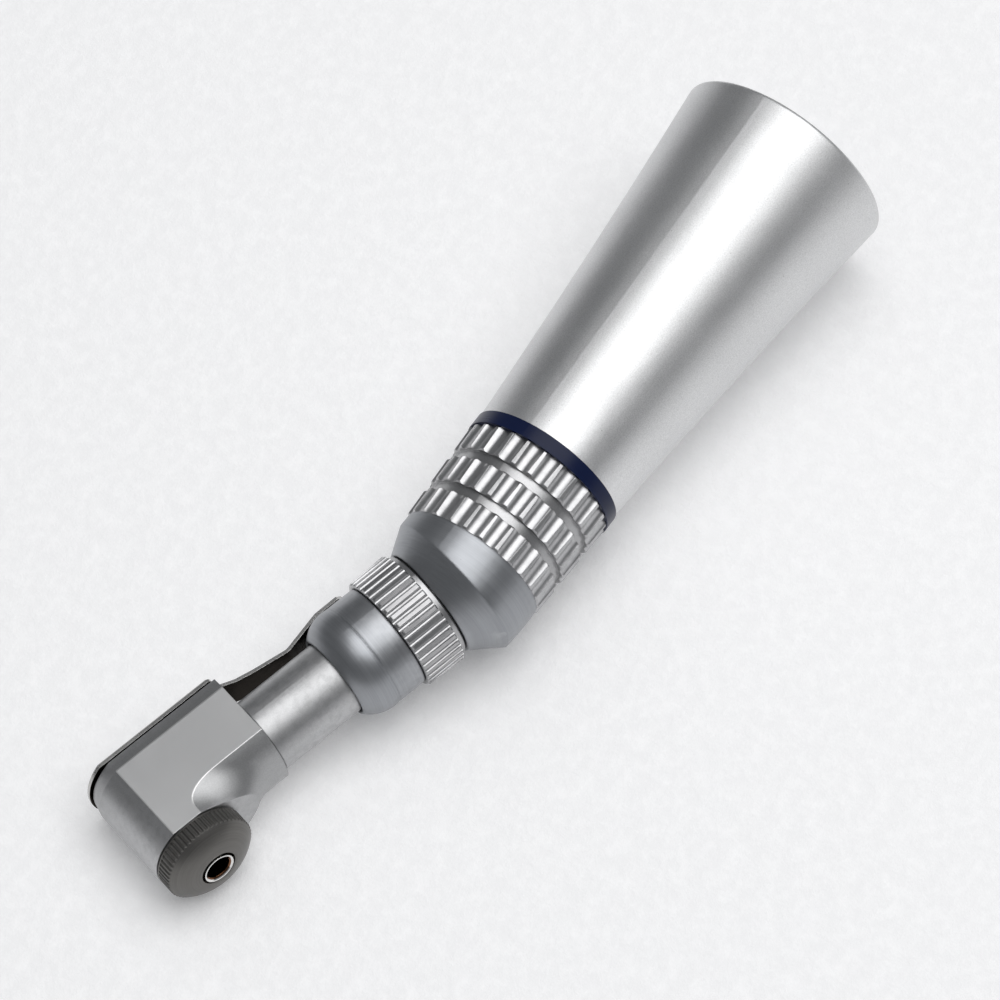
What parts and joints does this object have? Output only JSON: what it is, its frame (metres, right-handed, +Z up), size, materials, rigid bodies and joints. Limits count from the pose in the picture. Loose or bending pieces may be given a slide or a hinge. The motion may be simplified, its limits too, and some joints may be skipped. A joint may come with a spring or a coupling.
{
  "type": "contra angle handpiece",
  "caption": "Latch type contra angle dental handpiece with a flared blasted sheath, a navy ratio ring, a fluted grip collar and a swing latch.",
  "frame": {"origin": "middle of the box, on the surface that the handpiece lies on", "axes": "+X back along the sheath towards the motor end, +Z up from the surface, +Y to the side that the neck bends to"},
  "size_m": [0.089, 0.0262, 0.0213],
  "materials": {
    "blasted_steel": "sand-blasted satin",
    "bright_nickel": "satin nickel plate",
    "navy_lacquer": "gloss navy lacquer",
    "brushed_blue_grey": "fine turned satin",
    "polished_steel": "polished",
    "satin_steel": "fine satin",
    "gunmetal": "warm dark satin",
    "spring_steel": "bright rolled",
    "machined_steel": "turned",
    "gear_steel": "ground",
    "bearing_steel": "ground and polished",
    "bearing_bronze": "turned bronze",
    "cage_brass": "stamped brass",
    "seal_rubber": "matt black"
  },
  "bodies": {
    "handle_and_head": {"outer_sheath": "blasted_steel", "grip_collar": "bright_nickel", "colour_ring": "navy_lacquer", "sheath_seal": "seal_rubber", "motor_socket": "machined_steel", "snap_ring": "spring_steel", "bearing_barrel": "machined_steel", "barrel_circlip": "spring_steel", "preload_disc_spring": "spring_steel", "drive_front_bearing_outer_ring": "bearing_steel", "drive_rear_bearing_outer_ring": "bearing_steel", "bend_housing": "brushed_blue_grey", "neck_core": "machined_steel", "neck_circlip": "spring_steel", "neck_bearing_outer_ring": "bearing_steel", "neck_front_bush": "bearing_bronze", "neck_sleeve": "brushed_blue_grey", "locating_pin": "machined_steel", "head_housing": "satin_steel", "chuck_rear_bush": "bearing_bronze", "chuck_front_bush": "bearing_bronze", "chuck_thrust_washer": "bearing_bronze", "head_cap": "gunmetal", "latch_pivot_screw": "polished_steel", "latch_pivot_washer": "polished_steel"},
    "drive_line": {"drive_shaft": "machined_steel", "clutch_cross_pin": "machined_steel", "clutch_spring_seat": "machined_steel", "clutch_spring": "spring_steel", "bend_drive_gear": "gear_steel", "drive_front_bearing_inner_ring": "bearing_steel", "drive_rear_bearing_inner_ring": "bearing_steel"},
    "clutch": {"clutch_dog": "machined_steel"},
    "drive_front_cage": {"drive_front_bearing_balls": "bearing_steel", "drive_front_bearing_cage": "cage_brass"},
    "drive_rear_cage": {"drive_rear_bearing_balls": "bearing_steel", "drive_rear_bearing_cage": "cage_brass"},
    "neck_line": {"neck_shaft": "machined_steel", "bend_driven_gear": "gear_steel", "neck_bearing_inner_ring": "bearing_steel", "head_pinion": "gear_steel"},
    "neck_cage": {"neck_bearing_balls": "bearing_steel", "neck_bearing_cage": "cage_brass"},
    "chuck": {"chuck_tube": "polished_steel", "chuck_gear": "gear_steel"},
    "nut": {"locking_nut": "polished_steel"},
    "latch": {"latch_lever": "spring_steel", "latch_tongue": "spring_steel", "latch_rivets": "polished_steel"}
  },
  "joints": [
    {"name": "drive_spin", "type": "hinge", "parent": "handle_and_head", "child": "drive_line", "pos_m": [-0.00321, -0.00258, 0.00759], "axis": [0.9976, 0, 0.0688], "continuous": true},
    {"name": "clutch_slide", "type": "slide", "parent": "drive_line", "child": "clutch", "axis": [-0.9976, 0, -0.0688], "range_m": [0, 0.002], "stiffness_N_per_m": 400, "deforming": ["clutch_spring"]},
    {"name": "drive_front_cage_spin", "type": "hinge", "parent": "handle_and_head", "child": "drive_front_cage", "pos_m": [-0.00321, -0.00258, 0.00759], "axis": [0.9976, 0, 0.0688], "continuous": true},
    {"name": "drive_rear_cage_spin", "type": "hinge", "parent": "handle_and_head", "child": "drive_rear_cage", "pos_m": [0.00557, -0.00258, 0.0082], "axis": [0.9976, 0, 0.0688], "continuous": true},
    {"name": "neck_spin", "type": "hinge", "parent": "handle_and_head", "child": "neck_line", "pos_m": [-0.00938, -0.00176, 0.00711], "axis": [-0.961, 0.2632, -0.0848], "continuous": true},
    {"name": "neck_cage_spin", "type": "hinge", "parent": "handle_and_head", "child": "neck_cage", "pos_m": [-0.00938, -0.00176, 0.00711], "axis": [-0.961, 0.2632, -0.0848], "continuous": true},
    {"name": "chuck_spin", "type": "hinge", "parent": "handle_and_head", "child": "chuck", "pos_m": [-0.03847, 0.0062, 0.00454], "axis": [-0.2679, -0.9622, 0.0494], "continuous": true},
    {"name": "nut_turn", "type": "hinge", "parent": "handle_and_head", "child": "nut", "pos_m": [-0.01001, -0.00159, 0.00706], "axis": [-0.961, 0.2632, -0.0848], "range_deg": [0, 90]},
    {"name": "latch_swing", "type": "hinge", "parent": "handle_and_head", "child": "latch", "pos_m": [-0.02999, 0.01004, 0.00486], "axis": [-0.2679, -0.9622, 0.0494], "range_deg": [0, 25]}
  ],
  "couplings": [
    {"joint": "neck_spin", "follows": "drive_spin", "ratio": -1},
    {"joint": "chuck_spin", "follows": "drive_spin", "ratio": 1},
    {"joint": "drive_front_cage_spin", "follows": "drive_spin", "ratio": 0.4},
    {"joint": "drive_rear_cage_spin", "follows": "drive_spin", "ratio": 0.4},
    {"joint": "neck_cage_spin", "follows": "drive_spin", "ratio": -0.4}
  ]
}
